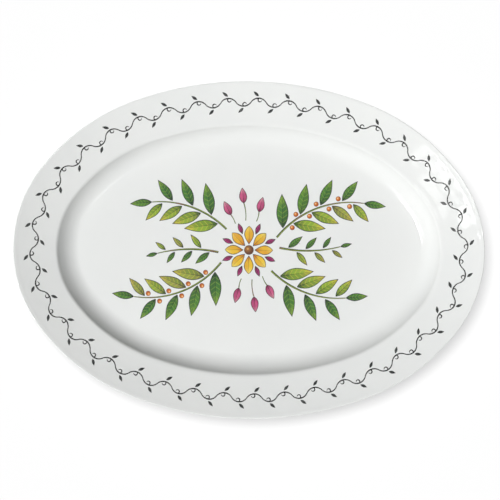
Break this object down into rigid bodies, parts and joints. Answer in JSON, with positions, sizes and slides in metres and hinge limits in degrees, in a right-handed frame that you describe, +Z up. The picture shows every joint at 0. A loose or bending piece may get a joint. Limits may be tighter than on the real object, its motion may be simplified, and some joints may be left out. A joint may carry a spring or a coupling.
{
  "type": "oval serving platter",
  "caption": "Oval rimmed ceramic serving plate with a sunken flat floor, a foot ring, and fired prints on rim and floor.",
  "frame": {"origin": "centre of the plate on the plane that the foot ring stands on", "axes": "+X along the length of the oval, +Y across it, +Z upwards out of the well"},
  "size_m": [0.39, 0.279, 0.0288],
  "materials": {
    "biscuit": "bare fired clay, smooth and matt on the foot's standing face",
    "face_glaze": "glossy opaque white glaze",
    "recess_glaze": "glossy opaque white glaze",
    "vine_ink": "fired charcoal print under gloss",
    "vine_leaf_ink": "fired grey print under gloss",
    "stem_green": "fired olive green print under gloss",
    "leaf_green": "fired mid green print under gloss",
    "leaf_lime": "fired yellow-green print under gloss",
    "petal_yellow": "fired yellow print under gloss",
    "sepal_magenta": "fired magenta print under gloss",
    "bud_pink": "fired pink print under gloss",
    "berry_orange": "fired orange print under gloss"
  },
  "bodies": {
    "root": {"ceramic_body": "biscuit", "face_glaze": "face_glaze", "recess_glaze": "recess_glaze", "rim_vine_print": "vine_ink", "rim_leaf_print": "vine_leaf_ink", "stem_print": "stem_green", "green_leaf_print": "leaf_green", "lime_leaf_print": "leaf_lime", "petal_print": "petal_yellow", "sepal_print": "sepal_magenta", "bud_print": "bud_pink", "berry_print": "berry_orange"}
  },
  "joints": []
}
